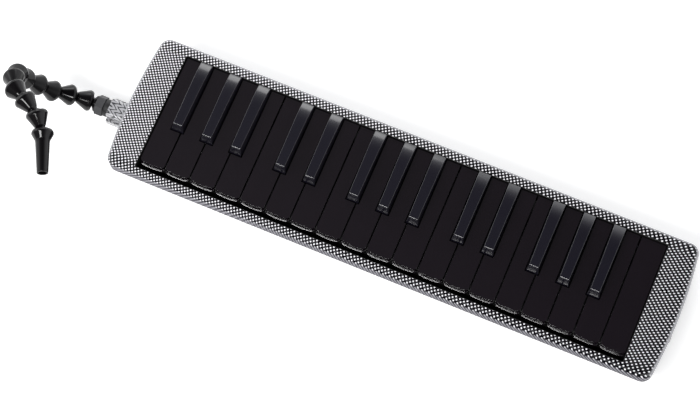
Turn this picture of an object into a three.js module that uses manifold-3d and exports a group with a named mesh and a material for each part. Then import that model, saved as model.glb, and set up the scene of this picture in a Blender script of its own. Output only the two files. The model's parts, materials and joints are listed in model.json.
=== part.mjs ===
// A 32-key melodica with a ball-and-socket mouth tube.
// Millimetres: X runs along the keyboard towards the high notes, Y towards the back, Z up.
// The origin is the middle of the flat base that the case lies on.
import * as THREE from "three";
import { mergeVertices } from "three/addons/utils/BufferGeometryUtils.js";
import Module from "manifold-3d";

const wasm = await Module();
wasm.setup();

// ---------------------------------------------------------------- driving dimensions

const GAP = 0.3; // between pieces that touch
const OVERLAP = 0.2; // how far two volumes of one piece reach into each other

const CASE_LENGTH = 432;
const CASE_DEPTH = 107;
const CASE_CORNER = 8;
const END_BOW = 2.8; // how far the middle of each end stands out past its corners
const CASE_WALL = 2.2;
const RIM_Z = 40;
const SPLIT_Z = 25.5; // where the top cover ends and the bottom cover begins
const TOP_FILLET = 3.8;
const BASE_INSET = 1.6; // the bottom cover stands back under the top cover
const BASE_FILLET = 6;
const BASE_SLOPE = 0.2; // how far its front and back draw in for each mm of depth

const KEY_PITCH = 20;
const NATURAL_COUNT = 19;
const NATURAL_WIDTH = 19;
const NATURAL_TOP_Z = 38;
const NATURAL_FRONT_Y = -42.8;
const KEY_BACK_Y = 44.2;
const PLATE_THICKNESS = 3;
const LIP_HEIGHT = 5.8;
const LIP_THICKNESS = 1.8;
const SHARP_TOP_Z = 46;
const SHARP_FRONT_Y = -11.3;
const SHARP_BASE_WIDTH = 9.6;
const SHARP_TOP_WIDTH = 7.4;
const SHARP_BOTTOM_Z = 34.5;
const SHARP_CLEARANCE = 0.7;
const LETTERS = ["F", "G", "A", "B", "C", "D", "E"];
const SHARP_SHIFT = { F: -3.2, G: 0.2, A: 3.5, C: -1.3, D: 2.0 }; // from the line between two naturals

const KEYBOARD_HALF = (KEY_PITCH * NATURAL_COUNT) / 2;
const OPENING_HALF = KEYBOARD_HALF + GAP;
const OPENING_FRONT_Y = -48.2;
const OPENING_BACK_Y = 45;
const SKIRT_THICKNESS = 1.6;
const SKIRT_BOTTOM_Z = 30;

const ROD_Y = 38;
const ROD_Z = 30.5;
const ROD_RADIUS = 1.5;
const ROD_HALF = 189.8;
const HOOK_RADIUS = 4.2;
const HOOK_BORE = 1.95;
const HOOK_MOUTH = 1.4;
const RIB_WIDTH = 4;
const RIB_BOTTOM_Z = 31.5;
const STEM_FRONT_Y = 0.5;
const STEM_BACK_Y = 3.5;
const NATURAL_RIB_SETBACK = 3.5;
const SHARP_RIB_SETBACK = 4;
const PALLET_HALF_WIDTH = 4.2;
const PALLET_FRONT_Y = -4;
const PALLET_BACK_Y = 8;
const PALLET_THICKNESS = 2.4;

const VALVE_PLATE_BOTTOM_Z = 22;
const VALVE_PLATE_TOP_Z = 24;
const VALVE_PLATE_HALF = 193;
const VALVE_PLATE_FRONT_Y = -41;
const VALVE_PLATE_BACK_Y = 44.6;
const STEM_SLOT_HALF_WIDTH = 2.5;
const ROD_POST_HALF = [1.2, 3.6, 3]; // half thickness, half depth, height above the rod's middle
const KEYS_PER_ROD_POST = 6;
const COMB_HALF = 190;
const COMB_FRONT_Y = 22;
const COMB_BACK_Y = 28;
const COMB_THICKNESS = 0.8;
const FINGER_TIP_Y = 7;
const FINGER_ROOT_Y = 23.5;
const FINGER_HALF_WIDTH = 1.3;
const FELT_HALF = 189;
const FELT_FRONT_Y = -38;
const FELT_BACK_Y = -32;
const FELT_HEIGHT = 3.5;
const BLOCK_BOTTOM_Z = 15.1;
const REED_PLATE_BOTTOM_Z = 13.8;
const REED_PLATE_THICKNESS = 1;
const GASKET_THICKNESS = 0.8;
const GASKET_HALF = 195.8;
const GASKET_OPENING_HALF = 188;
const GASKET_BORDER = 5;
const TRAY_BOTTOM_Z = 4;
const TRAY_TOP_Z = 12.4;
const TRAY_WALL = 1.6;
const TRAY_FLOOR = 1.4;
const TRAY_LID_END_X = -194; // the tray is covered from its left end to here
const TRAY_FRONT_Y = -27;
const TRAY_BACK_Y = 23;
const TRAY_LEFT_X = -207.5;
const TRAY_RIGHT_X = 196;
const BLOCK_FRONT_Y = -24;
const BLOCK_BACK_Y = 20;
const BLOCK_HALF = 191.7;
const CELL_WIDTH = 9.2;
const CELL_FRONT_Y = -20;
const CELL_BACK_Y = 14;
const REED_SLOT_WIDTH = 2.6;
const REED_WIDTH = 2;
const LONGEST_REED = 30;
const SHORTEST_REED = 13;
const REED_ROOT = 1.8; // how far a tongue reaches past its slot to where it is riveted

const SPOUT_Y = -11;
const SPOUT_END_X = -229.3;
const SPOUT_BORE = 5.5;
const SPOUT_TOP_HALF = 7.2;
const SPOUT_TOP_HEIGHT = 7.5;
const SPOUT_BASE_HALF = 9.6;
const SPOUT_BASE_DEPTH = 10;
const PIPE_RADIUS = 5.2;
const PIPE_BORE = 4.3;
const PIPE_BEND = 8;
const PIPE_DOWN_X = -201.5;

const PLUG_RADIUS = 4;
const PLUG_LENGTH = 15;
const COLLAR_RADIUS = 6.7;
const COLLAR_LENGTH = 3.7;
const NUT_RADIUS = 7.9; // to the corners
const NUT_LENGTH = 6.3;

const TUBE_PITCH = 14.2; // from ball centre to ball centre
const FIRST_BALL_X = -247.7;
const BALL_RADIUS = 5.3;
const SOCKET_RADIUS = 5.8;
const NECK_RADIUS = 3.5;
const BELL_RADIUS = 8;
const AIRWAY_RADIUS = 2.3;
const BALL_TIP_ANGLE = 48; // where the ball ends in a flat, in degrees above its middle
const SOCKET_RIM_ANGLE = -18;
const NOZZLE_LENGTH = 29.6;
const NOZZLE_BORE = 3.1;
// How the tube is bent at rest: each segment's heading from +X towards +Y, and its rise, in degrees.
const TUBE_POSE = [
  [-169, 20],
  [-159, 34],
  [-162, 53],
  [-160, 56],
  [-123, 76],
  [-68, 58],
  [-52, 34],
  [-28, 22],
  [-29, -3],
  [-50, -8],
  [-64, 4],
];

const BUTTON_Z = 8.5;
const BUTTON_RADIUS = 3.4;
const BUTTON_OUTER_X = 216.8;
const BUTTON_INNER_X = 208.6;
const VALVE_STEM_RADIUS = 1;
const VALVE_SEAL_RADIUS = 2.8;
const VALVE_PORT_RADIUS = 1.9;

// ---------------------------------------------------------------- solids

function solidOf(geometry) {
  const bare = geometry.index ? geometry.toNonIndexed() : geometry.clone();
  bare.deleteAttribute("normal");
  bare.deleteAttribute("uv");
  const merged = mergeVertices(bare, 1e-4);
  const vertProperties = new Float32Array(merged.attributes.position.array);
  const triVerts = new Uint32Array(merged.index.array);
  return new wasm.Manifold(new wasm.Mesh({ numProp: 3, vertProperties, triVerts }));
}

function geometryOf(solid) {
  const mesh = solid.getMesh();
  const geometry = new THREE.BufferGeometry();
  geometry.setAttribute("position", new THREE.BufferAttribute(mesh.vertProperties, 3));
  geometry.setIndex(new THREE.BufferAttribute(mesh.triVerts, 1));
  const faceted = geometry.toNonIndexed();
  faceted.computeVertexNormals();
  return faceted;
}

function joined(solids) {
  return solids.reduce((whole, next) => whole.add(next));
}

function cutBy(solid, cutters) {
  return cutters.reduce((rest, cutter) => rest.subtract(cutter), solid);
}

function box([x0, x1], [y0, y1], [z0, z1]) {
  const geometry = new THREE.BoxGeometry(x1 - x0, y1 - y0, z1 - z0);
  geometry.translate((x0 + x1) / 2, (y0 + y1) / 2, (z0 + z1) / 2);
  return solidOf(geometry);
}

function uprightCylinder(x, y, [z0, z1], radius, sides = 8) {
  const geometry = new THREE.CylinderGeometry(radius, radius, z1 - z0, sides);
  geometry.rotateX(Math.PI / 2);
  geometry.translate(x, y, (z0 + z1) / 2);
  return solidOf(geometry);
}

function lengthwiseCylinder([x0, x1], y, z, radius, sides = 14) {
  const geometry = new THREE.CylinderGeometry(radius, radius, x1 - x0, sides);
  geometry.rotateZ(-Math.PI / 2);
  geometry.translate((x0 + x1) / 2, y, z);
  return solidOf(geometry);
}

// A profile drawn in (Y, Z) and carried along X.
function alongX(profile, [x0, x1]) {
  const geometry = new THREE.ExtrudeGeometry(profile, { depth: x1 - x0, bevelEnabled: false });
  const toWorld = new THREE.Matrix4().makeBasis(
    new THREE.Vector3(0, 1, 0),
    new THREE.Vector3(0, 0, 1),
    new THREE.Vector3(1, 0, 0),
  );
  geometry.applyMatrix4(toWorld);
  geometry.translate(x0, 0, 0);
  return solidOf(geometry);
}

// A profile drawn in (X, Z) and carried along Y.
function alongY(profile, [y0, y1]) {
  const geometry = new THREE.ExtrudeGeometry(profile, { depth: y1 - y0, bevelEnabled: false });
  geometry.rotateX(Math.PI / 2);
  geometry.translate(0, y1, 0);
  return solidOf(geometry);
}

function outline(points) {
  return new THREE.Shape(points.map(([u, v]) => new THREE.Vector2(u, v)));
}

function arcPoints(centre, radius, fromDegrees, toDegrees, steps) {
  return Array.from({ length: steps + 1 }, (_, i) => {
    const angle = THREE.MathUtils.degToRad(fromDegrees + ((toDegrees - fromDegrees) * i) / steps);
    return [centre[0] + radius * Math.cos(angle), centre[1] + radius * Math.sin(angle)];
  });
}

function bowedRectangle(halfLength, halfDepth, corner, steps = 3) {
  const x = halfLength - END_BOW - corner;
  const y = halfDepth - corner;
  const rightEnd = [-0.7, -0.35, 0, 0.35, 0.7].map((t) => [halfLength - END_BOW * t * t, t * y]);
  const leftEnd = rightEnd.map(([u, v]) => [-u, -v]);
  return outline([
    ...arcPoints([x, y], corner, 0, 90, steps),
    ...arcPoints([-x, y], corner, 90, 180, steps),
    ...leftEnd,
    ...arcPoints([-x, -y], corner, 180, 270, steps),
    ...arcPoints([x, -y], corner, 270, 360, steps),
    ...rightEnd,
  ]);
}

// A block with a round-cornered plan whose top and bottom edges are both filleted.
function pillow(halfLength, halfDepth, corner, [z0, z1], fillet, steps = 3) {
  const plan = bowedRectangle(halfLength - fillet, halfDepth - fillet, Math.max(corner - fillet, 1));
  const geometry = new THREE.ExtrudeGeometry(plan, {
    depth: z1 - z0 - 2 * fillet,
    bevelThickness: fillet,
    bevelSize: fillet,
    bevelSegments: steps,
  });
  geometry.translate(0, 0, z0 + fillet);
  return solidOf(geometry);
}

// A pillow whose front and back walls draw in from slopeTopZ down to its base.
function boat(halfLength, halfDepth, corner, [z0, z1], fillet, slopeTopZ) {
  const wallFootZ = z0 + fillet;
  const drawnIn = BASE_SLOPE * (slopeTopZ - wallFootZ);
  const base = pillow(halfLength, halfDepth - drawnIn, corner, [z0, wallFootZ + fillet + 1], fillet);
  const upper = new THREE.ExtrudeGeometry(bowedRectangle(halfLength, halfDepth, corner), {
    depth: z1 - slopeTopZ,
    bevelEnabled: false,
  });
  upper.translate(0, 0, slopeTopZ);
  return wasm.Manifold.hull([base, solidOf(upper)]);
}

function slab([z0, z1]) {
  return box([-CASE_LENGTH, CASE_LENGTH], [-CASE_LENGTH, CASE_LENGTH], [z0, z1]);
}

// ---------------------------------------------------------------- keyboard layout

function octaveOf(index) {
  return 3 + Math.floor((index + 3) / LETTERS.length);
}

function sharpAfter(index) {
  if (index < 0 || index >= NATURAL_COUNT - 1) return null;
  const letter = LETTERS[index % LETTERS.length];
  if (!(letter in SHARP_SHIFT)) return null;
  const x = -KEYBOARD_HALF + KEY_PITCH * (index + 1) + SHARP_SHIFT[letter];
  return { name: `key_${letter}sharp${octaveOf(index)}`, x, sharp: true };
}

function naturalAt(index) {
  const middle = -KEYBOARD_HALF + KEY_PITCH * (index + 0.5);
  const left = middle - NATURAL_WIDTH / 2;
  const right = middle + NATURAL_WIDTH / 2;
  const reach = SHARP_BASE_WIDTH / 2 + SHARP_CLEARANCE;
  const before = sharpAfter(index - 1);
  const after = sharpAfter(index);
  const backLeft = before ? Math.max(left, before.x + reach) : left;
  const backRight = after ? Math.min(right, after.x - reach) : right;
  const name = `key_${LETTERS[index % LETTERS.length]}${octaveOf(index)}`;
  return { name, x: (backLeft + backRight) / 2, left, right, backLeft, backRight, sharp: false };
}

function keyboardLayout() {
  const keys = [];
  for (let index = 0; index < NATURAL_COUNT; index++) {
    keys.push(naturalAt(index));
    const sharp = sharpAfter(index);
    if (sharp) keys.push(sharp);
  }
  return keys;
}

const KEYS = keyboardLayout();

// ---------------------------------------------------------------- case

const BOSS_SPOTS = [-202, 202].flatMap((x) => [-40, 40].map((y) => [x, y]));
const PLATE_POST_SPOTS = [-150, -50, 50, 150].flatMap((x) => [-34, 32].map((y) => [x, y]));
const BOSS_RADIUS = 3.5;
const SCREW_HEAD_RADIUS = 3;
const SCREW_HEAD_DEPTH = 1.2;

// The half of the spout's outside that one cover carries, as a bar on the left end wall.
function spoutHalf(halfWidth, zWall, zOuter, corner) {
  const inward = zOuter > zWall ? 1 : -1;
  const z = zOuter - inward * corner;
  const quarter = arcPoints([halfWidth - corner, 0], corner, 0, 90, 3);
  const right = quarter.map(([u, v]) => [SPOUT_Y + u, z + inward * v]);
  const left = quarter.map(([u, v]) => [SPOUT_Y - u, z + inward * v]).reverse();
  const profile = [[SPOUT_Y + halfWidth, zWall], ...right, ...left, [SPOUT_Y - halfWidth, zWall]];
  return alongX(outline(profile), [SPOUT_END_X, -CASE_LENGTH / 2 + CASE_WALL]);
}

function spoutBore(fromX) {
  return lengthwiseCylinder([fromX, -CASE_LENGTH / 2 + 3 * CASE_WALL], SPOUT_Y, SPLIT_Z, SPOUT_BORE);
}

function topCover() {
  const halfLength = CASE_LENGTH / 2;
  const halfDepth = CASE_DEPTH / 2;
  const outside = pillow(halfLength, halfDepth, CASE_CORNER, [0, RIM_Z], TOP_FILLET);
  const hollow = pillow(
    halfLength - CASE_WALL,
    halfDepth - CASE_WALL,
    CASE_CORNER - CASE_WALL,
    [-CASE_WALL, RIM_Z - CASE_WALL],
    TOP_FILLET - 1,
    2,
  );
  const skirt = box(
    [-OPENING_HALF - SKIRT_THICKNESS, OPENING_HALF + SKIRT_THICKNESS],
    [-halfDepth + CASE_WALL / 2, OPENING_BACK_Y + SKIRT_THICKNESS],
    [SKIRT_BOTTOM_Z, RIM_Z - CASE_WALL / 2],
  );
  const opening = box(
    [-OPENING_HALF, OPENING_HALF],
    [OPENING_FRONT_Y, OPENING_BACK_Y],
    [SPLIT_Z - 1, RIM_Z + 1],
  );
  const bossZ = [SPLIT_Z, RIM_Z - CASE_WALL / 2];
  const bosses = BOSS_SPOTS.map(([x, y]) => uprightCylinder(x, y, bossZ, BOSS_RADIUS));
  const spout = spoutHalf(SPOUT_TOP_HALF, SPLIT_Z, SPLIT_Z + SPOUT_TOP_HEIGHT, 3);
  const shell = cutBy(outside, [hollow, slab([-1, SPLIT_Z])]);
  const walled = joined([shell, skirt, spout, ...bosses]);
  return cutBy(walled, [opening, spoutBore(SPOUT_END_X - 1)]);
}

function bottomCover() {
  const halfLength = CASE_LENGTH / 2 - BASE_INSET;
  const halfDepth = CASE_DEPTH / 2 - BASE_INSET;
  const topZ = SPLIT_Z - GAP;
  const outside = boat(halfLength, halfDepth, CASE_CORNER, [0, RIM_Z], BASE_FILLET, topZ);
  const hollow = boat(
    halfLength - CASE_WALL,
    halfDepth - CASE_WALL,
    CASE_CORNER - CASE_WALL,
    [CASE_WALL, RIM_Z],
    BASE_FILLET - 1,
    topZ,
  );
  const spout = spoutHalf(SPOUT_BASE_HALF, topZ, SPLIT_Z - SPOUT_BASE_DEPTH, 4);
  const floorZ = CASE_WALL - OVERLAP;
  const bosses = BOSS_SPOTS.map(([x, y]) => uprightCylinder(x, y, [floorZ, topZ], BOSS_RADIUS));
  const postTop = VALVE_PLATE_BOTTOM_Z - GAP;
  const posts = PLATE_POST_SPOTS.map(([x, y]) => uprightCylinder(x, y, [floorZ, postTop], BOSS_RADIUS));
  const screwSeats = [...BOSS_SPOTS, ...PLATE_POST_SPOTS].map(([x, y]) =>
    uprightCylinder(x, y, [-1, SCREW_HEAD_DEPTH], SCREW_HEAD_RADIUS, 10),
  );
  const buttonHole = lengthwiseCylinder(
    [halfLength - 2 * CASE_WALL, halfLength + 1],
    SPOUT_Y,
    BUTTON_Z,
    BUTTON_RADIUS + 0.4,
  );
  const shell = cutBy(outside, [hollow, slab([topZ, RIM_Z + 1])]);
  const walled = joined([shell, spout, ...bosses, ...posts]);
  return cutBy(walled, [...screwSeats, buttonHole, spoutBore(SPOUT_END_X - 1)]);
}

// ---------------------------------------------------------------- keys

// Rib, rod hook and valve stem of one key, in side view.
function leverProfile(ribFrontY) {
  const centre = [ROD_Y, ROD_Z];
  const ribMeetsHook = 180 - THREE.MathUtils.radToDeg(Math.asin((RIB_BOTTOM_Z - ROD_Z) / HOOK_RADIUS));
  const outerMouth = THREE.MathUtils.radToDeg(Math.asin(HOOK_MOUTH / HOOK_RADIUS));
  const boreMouth = THREE.MathUtils.radToDeg(Math.asin(HOOK_MOUTH / HOOK_BORE));
  const top = NATURAL_TOP_Z - PLATE_THICKNESS + OVERLAP;
  const stemBottom = VALVE_PLATE_BOTTOM_Z - GAP - OVERLAP;
  return outline([
    [ribFrontY, RIB_BOTTOM_Z],
    [STEM_FRONT_Y, RIB_BOTTOM_Z],
    [STEM_FRONT_Y, stemBottom],
    [STEM_BACK_Y, stemBottom],
    [STEM_BACK_Y, RIB_BOTTOM_Z],
    ...arcPoints(centre, HOOK_RADIUS, ribMeetsHook, 270 - outerMouth, 3),
    ...arcPoints(centre, HOOK_BORE, 270 - boreMouth, boreMouth - 90, 6),
    ...arcPoints(centre, HOOK_RADIUS, outerMouth - 90, 0, 3),
    [ROD_Y + HOOK_RADIUS, top],
    [ribFrontY, top],
  ]);
}

function lever(x, ribFrontY) {
  const padTop = VALVE_PLATE_BOTTOM_Z - GAP;
  const arm = alongX(leverProfile(ribFrontY), [x - RIB_WIDTH / 2, x + RIB_WIDTH / 2]);
  const pallet = box(
    [x - PALLET_HALF_WIDTH, x + PALLET_HALF_WIDTH],
    [PALLET_FRONT_Y, PALLET_BACK_Y],
    [padTop - PALLET_THICKNESS, padTop],
  );
  return arm.add(pallet);
}

function naturalKey(key) {
  const notchY = SHARP_FRONT_Y - SHARP_CLEARANCE;
  const plan = outline([
    [key.left, NATURAL_FRONT_Y],
    [key.right, NATURAL_FRONT_Y],
    ...(key.backRight < key.right ? [[key.right, notchY]] : []),
    ...(key.backRight < key.right ? [[key.backRight, notchY]] : []),
    [key.backRight, KEY_BACK_Y],
    [key.backLeft, KEY_BACK_Y],
    ...(key.backLeft > key.left ? [[key.backLeft, notchY]] : []),
    ...(key.backLeft > key.left ? [[key.left, notchY]] : []),
  ]);
  const top = new THREE.ExtrudeGeometry(plan, { depth: PLATE_THICKNESS, bevelEnabled: false });
  top.translate(0, 0, NATURAL_TOP_Z - PLATE_THICKNESS);
  const lip = box(
    [key.left, key.right],
    [NATURAL_FRONT_Y, NATURAL_FRONT_Y + LIP_THICKNESS],
    [NATURAL_TOP_Z - LIP_HEIGHT, NATURAL_TOP_Z - PLATE_THICKNESS + OVERLAP],
  );
  return joined([solidOf(top), lip, lever(key.x, NATURAL_FRONT_Y + NATURAL_RIB_SETBACK)]);
}

function sharpKey(key) {
  const sideView = outline([
    [SHARP_FRONT_Y, SHARP_BOTTOM_Z],
    [KEY_BACK_Y, SHARP_BOTTOM_Z],
    [KEY_BACK_Y, RIM_Z + 0.4],
    [KEY_BACK_Y - 2.6, RIM_Z + 3.2],
    [KEY_BACK_Y - 5.2, SHARP_TOP_Z - 0.8],
    [KEY_BACK_Y - 8.2, SHARP_TOP_Z],
    [SHARP_FRONT_Y + 3.0, SHARP_TOP_Z],
    [SHARP_FRONT_Y + 2.1, SHARP_TOP_Z - 0.8],
    [SHARP_FRONT_Y, NATURAL_TOP_Z],
  ]);
  const frontView = outline([
    [key.x - SHARP_BASE_WIDTH / 2, SHARP_BOTTOM_Z],
    [key.x + SHARP_BASE_WIDTH / 2, SHARP_BOTTOM_Z],
    [key.x + SHARP_BASE_WIDTH / 2, NATURAL_TOP_Z],
    [key.x + SHARP_TOP_WIDTH / 2, SHARP_TOP_Z],
    [key.x - SHARP_TOP_WIDTH / 2, SHARP_TOP_Z],
    [key.x - SHARP_BASE_WIDTH / 2, NATURAL_TOP_Z],
  ]);
  const length = alongX(sideView, [key.x - SHARP_BASE_WIDTH / 2, key.x + SHARP_BASE_WIDTH / 2]);
  const body = length.intersect(alongY(frontView, [SHARP_FRONT_Y - 1, KEY_BACK_Y + 1]));
  return body.add(lever(key.x, SHARP_FRONT_Y + SHARP_RIB_SETBACK));
}

// ---------------------------------------------------------------- action and wind way

// Spots between two hooks, and one outside each end hook, where the plate holds the rod.
function rodPostSpots() {
  const between = KEYS.slice(1).map((key, i) => (key.x + KEYS[i].x) / 2);
  const spots = between.filter((_, i) => (i + 1) % KEYS_PER_ROD_POST === 0);
  const end = ROD_HALF - ROD_POST_HALF[0] - OVERLAP;
  return [-end, ...spots, end];
}

function valvePlate() {
  const plate = box(
    [-VALVE_PLATE_HALF, VALVE_PLATE_HALF],
    [VALVE_PLATE_FRONT_Y, VALVE_PLATE_BACK_Y],
    [VALVE_PLATE_BOTTOM_Z, VALVE_PLATE_TOP_Z],
  );
  const [postX, postY, postTop] = ROD_POST_HALF;
  const postZ = [VALVE_PLATE_TOP_Z - OVERLAP, ROD_Z + postTop];
  const posts = rodPostSpots().map((x) =>
    box([x - postX, x + postX], [ROD_Y - postY, ROD_Y + postY], postZ),
  );
  const slotY = [STEM_FRONT_Y - 0.7, STEM_BACK_Y + 1.3];
  const slots = KEYS.map(({ x }) =>
    box([x - STEM_SLOT_HALF_WIDTH, x + STEM_SLOT_HALF_WIDTH], slotY, [0, RIM_Z]),
  );
  const rodBore = lengthwiseCylinder([-ROD_HALF - 1, ROD_HALF + 1], ROD_Y, ROD_Z, HOOK_BORE, 12);
  return cutBy(joined([plate, ...posts]), [...slots, rodBore]);
}

function keyRod() {
  return lengthwiseCylinder([-ROD_HALF, ROD_HALF], ROD_Y, ROD_Z, ROD_RADIUS, 12);
}

// One strip of spring steel with a finger that reaches up under each key.
function springComb() {
  const bottom = VALVE_PLATE_TOP_Z + GAP;
  const strip = box(
    [-COMB_HALF, COMB_HALF],
    [COMB_FRONT_Y, COMB_BACK_Y],
    [bottom, bottom + COMB_THICKNESS],
  );
  const finger = outline([
    [FINGER_ROOT_Y, bottom + 0.1],
    [FINGER_ROOT_Y, bottom + 0.7],
    [FINGER_TIP_Y, RIB_BOTTOM_Z - GAP],
    [FINGER_TIP_Y, RIB_BOTTOM_Z - 3 * GAP],
  ]);
  const fingers = KEYS.map(({ x }) => alongX(finger, [x - FINGER_HALF_WIDTH, x + FINGER_HALF_WIDTH]));
  return joined([strip, ...fingers]);
}

function stopFelt() {
  const bottom = VALVE_PLATE_TOP_Z + GAP;
  return box([-FELT_HALF, FELT_HALF], [FELT_FRONT_Y, FELT_BACK_Y], [bottom, bottom + FELT_HEIGHT]);
}

function reedBlock() {
  const block = box(
    [-BLOCK_HALF, BLOCK_HALF],
    [BLOCK_FRONT_Y, BLOCK_BACK_Y],
    [BLOCK_BOTTOM_Z, VALVE_PLATE_BOTTOM_Z - GAP],
  );
  const half = CELL_WIDTH / 2;
  const cells = KEYS.map(({ x }) => box([x - half, x + half], [CELL_FRONT_Y, CELL_BACK_Y], [0, RIM_Z]));
  return cutBy(block, cells);
}

// A brass plate with a slot for each note, and a tongue riveted under each slot.
function reedPlate(keys, [x0, x1]) {
  const bottom = REED_PLATE_BOTTOM_Z;
  const plate = box([x0, x1], [BLOCK_FRONT_Y, BLOCK_BACK_Y], [bottom, bottom + REED_PLATE_THICKNESS]);
  const slotFront = CELL_FRONT_Y + 3;
  const slots = [];
  const tongues = [];
  for (const key of keys) {
    const share = KEYS.indexOf(key) / (KEYS.length - 1);
    const length = LONGEST_REED + (SHORTEST_REED - LONGEST_REED) * share;
    const slotX = [key.x - REED_SLOT_WIDTH / 2, key.x + REED_SLOT_WIDTH / 2];
    const reedX = [key.x - REED_WIDTH / 2, key.x + REED_WIDTH / 2];
    slots.push(box(slotX, [slotFront, slotFront + length], [0, RIM_Z]));
    const root = slotFront - REED_ROOT;
    tongues.push(box(reedX, [root, slotFront + length - 0.4], [bottom - 0.6, bottom - 0.3]));
    tongues.push(box(reedX, [root, slotFront - 0.2], [bottom - 0.4, bottom + OVERLAP]));
  }
  return joined([cutBy(plate, slots), ...tongues]);
}

function gasket() {
  const z = [TRAY_TOP_Z + GAP, TRAY_TOP_Z + GAP + GASKET_THICKNESS];
  const sheet = box([-GASKET_HALF, GASKET_HALF], [TRAY_FRONT_Y, TRAY_BACK_Y], z);
  const opening = box(
    [-GASKET_OPENING_HALF, GASKET_OPENING_HALF],
    [TRAY_FRONT_Y + GASKET_BORDER, TRAY_BACK_Y - GASKET_BORDER],
    [0, RIM_Z],
  );
  return sheet.subtract(opening);
}

function windTray() {
  const trough = box(
    [TRAY_LEFT_X, TRAY_RIGHT_X],
    [TRAY_FRONT_Y, TRAY_BACK_Y],
    [TRAY_BOTTOM_Z, TRAY_TOP_Z],
  );
  const inside = box(
    [TRAY_LEFT_X + TRAY_WALL, TRAY_RIGHT_X - TRAY_WALL],
    [TRAY_FRONT_Y + TRAY_WALL, TRAY_BACK_Y - TRAY_WALL],
    [TRAY_BOTTOM_Z + TRAY_FLOOR, TRAY_TOP_Z + 1],
  );
  const lid = box(
    [TRAY_LEFT_X + OVERLAP, TRAY_LID_END_X],
    [TRAY_FRONT_Y + OVERLAP, TRAY_BACK_Y - OVERLAP],
    [TRAY_TOP_Z - TRAY_FLOOR, TRAY_TOP_Z],
  );
  const inlet = uprightCylinder(PIPE_DOWN_X, SPOUT_Y, [TRAY_TOP_Z - 3, TRAY_TOP_Z + 1], PIPE_BORE, 12);
  const drainX = [TRAY_RIGHT_X - 3, TRAY_RIGHT_X + 1];
  const drain = lengthwiseCylinder(drainX, SPOUT_Y, BUTTON_Z, VALVE_PORT_RADIUS, 10);
  return cutBy(trough.subtract(inside).add(lid), [inlet, drain]);
}

// The pipe that carries the breath from the spout down into the wind tray.
function inletPipe() {
  const across = new THREE.LineCurve3(
    new THREE.Vector3(SPOUT_END_X, SPOUT_Y, SPLIT_Z),
    new THREE.Vector3(PIPE_DOWN_X - PIPE_BEND, SPOUT_Y, SPLIT_Z),
  );
  const bend = new THREE.CubicBezierCurve3(
    new THREE.Vector3(PIPE_DOWN_X - PIPE_BEND, SPOUT_Y, SPLIT_Z),
    new THREE.Vector3(PIPE_DOWN_X - PIPE_BEND * 0.45, SPOUT_Y, SPLIT_Z),
    new THREE.Vector3(PIPE_DOWN_X, SPOUT_Y, SPLIT_Z - PIPE_BEND * 0.55),
    new THREE.Vector3(PIPE_DOWN_X, SPOUT_Y, SPLIT_Z - PIPE_BEND),
  );
  const down = new THREE.LineCurve3(
    new THREE.Vector3(PIPE_DOWN_X, SPOUT_Y, SPLIT_Z - PIPE_BEND),
    new THREE.Vector3(PIPE_DOWN_X, SPOUT_Y, TRAY_TOP_Z + GAP),
  );
  const way = new THREE.CurvePath();
  way.curves.push(across, bend, down);
  const pipeAlongWay = (radius, sides) =>
    solidOf(
      new THREE.ExtrudeGeometry(outline(arcPoints([0, 0], radius, 0, 360, sides).slice(0, -1)), {
        steps: 9,
        extrudePath: way,
        bevelEnabled: false,
      }),
    );
  const mouth = lengthwiseCylinder([SPOUT_END_X - 1, SPOUT_END_X + 2], SPOUT_Y, SPLIT_Z, PIPE_BORE, 12);
  const foot = uprightCylinder(PIPE_DOWN_X, SPOUT_Y, [TRAY_TOP_Z - 1, TRAY_TOP_Z + 2], PIPE_BORE, 12);
  return cutBy(pipeAlongWay(PIPE_RADIUS, 12), [pipeAlongWay(PIPE_BORE, 12), mouth, foot]);
}

// ---------------------------------------------------------------- water valve

function valveButton() {
  const inTray = TRAY_RIGHT_X - TRAY_WALL - GAP;
  const profile = [
    [0, inTray - 1.4],
    [VALVE_SEAL_RADIUS, inTray - 1.4],
    [VALVE_SEAL_RADIUS, inTray],
    [VALVE_STEM_RADIUS, inTray],
    [VALVE_STEM_RADIUS, BUTTON_INNER_X],
    [BUTTON_RADIUS, BUTTON_INNER_X],
    [BUTTON_RADIUS, BUTTON_OUTER_X - 0.7],
    [BUTTON_RADIUS - 0.7, BUTTON_OUTER_X],
    [0, BUTTON_OUTER_X],
  ];
  const geometry = new THREE.LatheGeometry(profile.map(([r, x]) => new THREE.Vector2(r, x)), 14);
  geometry.rotateZ(-Math.PI / 2);
  geometry.translate(0, SPOUT_Y, BUTTON_Z);
  return solidOf(geometry);
}

class Helix extends THREE.Curve {
  constructor(radius, turns, [x0, x1], y, z) {
    super();
    Object.assign(this, { radius, turns, x0, x1, y, z });
  }

  getPoint(t, target = new THREE.Vector3()) {
    const angle = 2 * Math.PI * this.turns * t;
    const x = this.x0 + (this.x1 - this.x0) * t;
    return target.set(x, this.y + this.radius * Math.cos(angle), this.z + this.radius * Math.sin(angle));
  }
}

function valveSpring() {
  const wire = 0.25;
  const ends = [TRAY_RIGHT_X + GAP + wire, BUTTON_INNER_X - GAP - wire];
  const section = outline(arcPoints([0, 0], wire, 0, 360, 4).slice(0, -1));
  const path = new Helix(2.1, 5, ends, SPOUT_Y, BUTTON_Z);
  return solidOf(new THREE.ExtrudeGeometry(section, { steps: 40, extrudePath: path, bevelEnabled: false }));
}

// ---------------------------------------------------------------- mouth tube

function lathe(profile, sides = 12) {
  return new THREE.LatheGeometry(profile.map(([r, h]) => new THREE.Vector2(r, h)), sides);
}

// Ball, neck side first, as far as the flat that the airway opens in.
function ballProfile(centre) {
  const neck = THREE.MathUtils.radToDeg(Math.asin(NECK_RADIUS / BALL_RADIUS));
  return arcPoints([0, centre], BALL_RADIUS, neck - 90, BALL_TIP_ANGLE, 4);
}

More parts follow.
